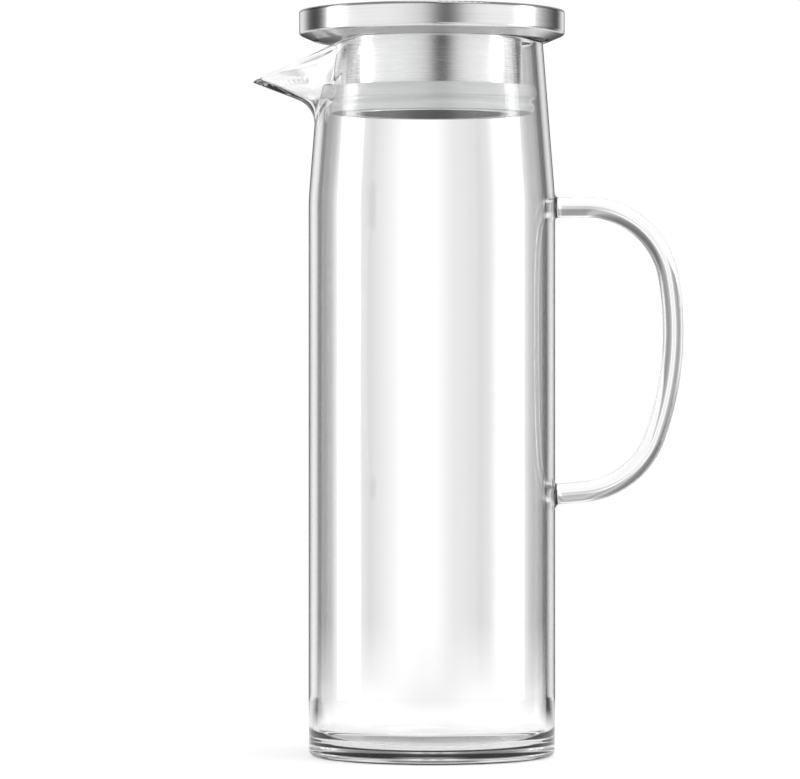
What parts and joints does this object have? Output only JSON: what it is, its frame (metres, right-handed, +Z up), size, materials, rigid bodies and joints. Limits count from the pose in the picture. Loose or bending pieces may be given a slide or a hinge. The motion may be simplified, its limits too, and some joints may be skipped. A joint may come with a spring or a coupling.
{
  "type": "glass pitcher with lid",
  "caption": "Tall clear glass pitcher with a pulled beak spout, a bent glass rod handle and a round brushed steel lid whose sealed plug lifts out of the neck.",
  "frame": {"origin": "the middle of the flat resting face, on the axis of the jug", "axes": "+Z up along the jug's axis, -X towards the spout, +X towards the handle"},
  "size_m": [0.1668, 0.1024, 0.2872],
  "materials": {
    "glass": "clear blown borosilicate, fire polished at the rim",
    "handle_glass": "clear solid drawn rod",
    "brushed_cap": "brushed round the side and across the top",
    "satin_plate": "satin",
    "brushed_sleeve": "brushed round",
    "core_plastic": "moulded, hidden inside the lid",
    "silicone": "frosted translucent silicone",
    "polished_plate": "mirror polished"
  },
  "bodies": {
    "pitcher": {"glass_body": "glass", "glass_handle": "handle_glass"},
    "seal": {"seal_ring": "silicone"},
    "lid": {"lid_cap": "brushed_cap", "cap_base_plate": "satin_plate", "lid_sleeve": "brushed_sleeve", "lid_core": "core_plastic", "bottom_plate": "polished_plate"}
  },
  "joints": [
    {"name": "lid_lift", "type": "slide", "parent": "pitcher", "child": "seal", "axis": [0, 0, 1], "range_m": [0, 0.06], "deforming": ["seal_ring"]},
    {"name": "lid_turn", "type": "hinge", "parent": "seal", "child": "lid", "pos_m": [0, 0, 0.27], "axis": [0, 0, 1], "continuous": true}
  ]
}
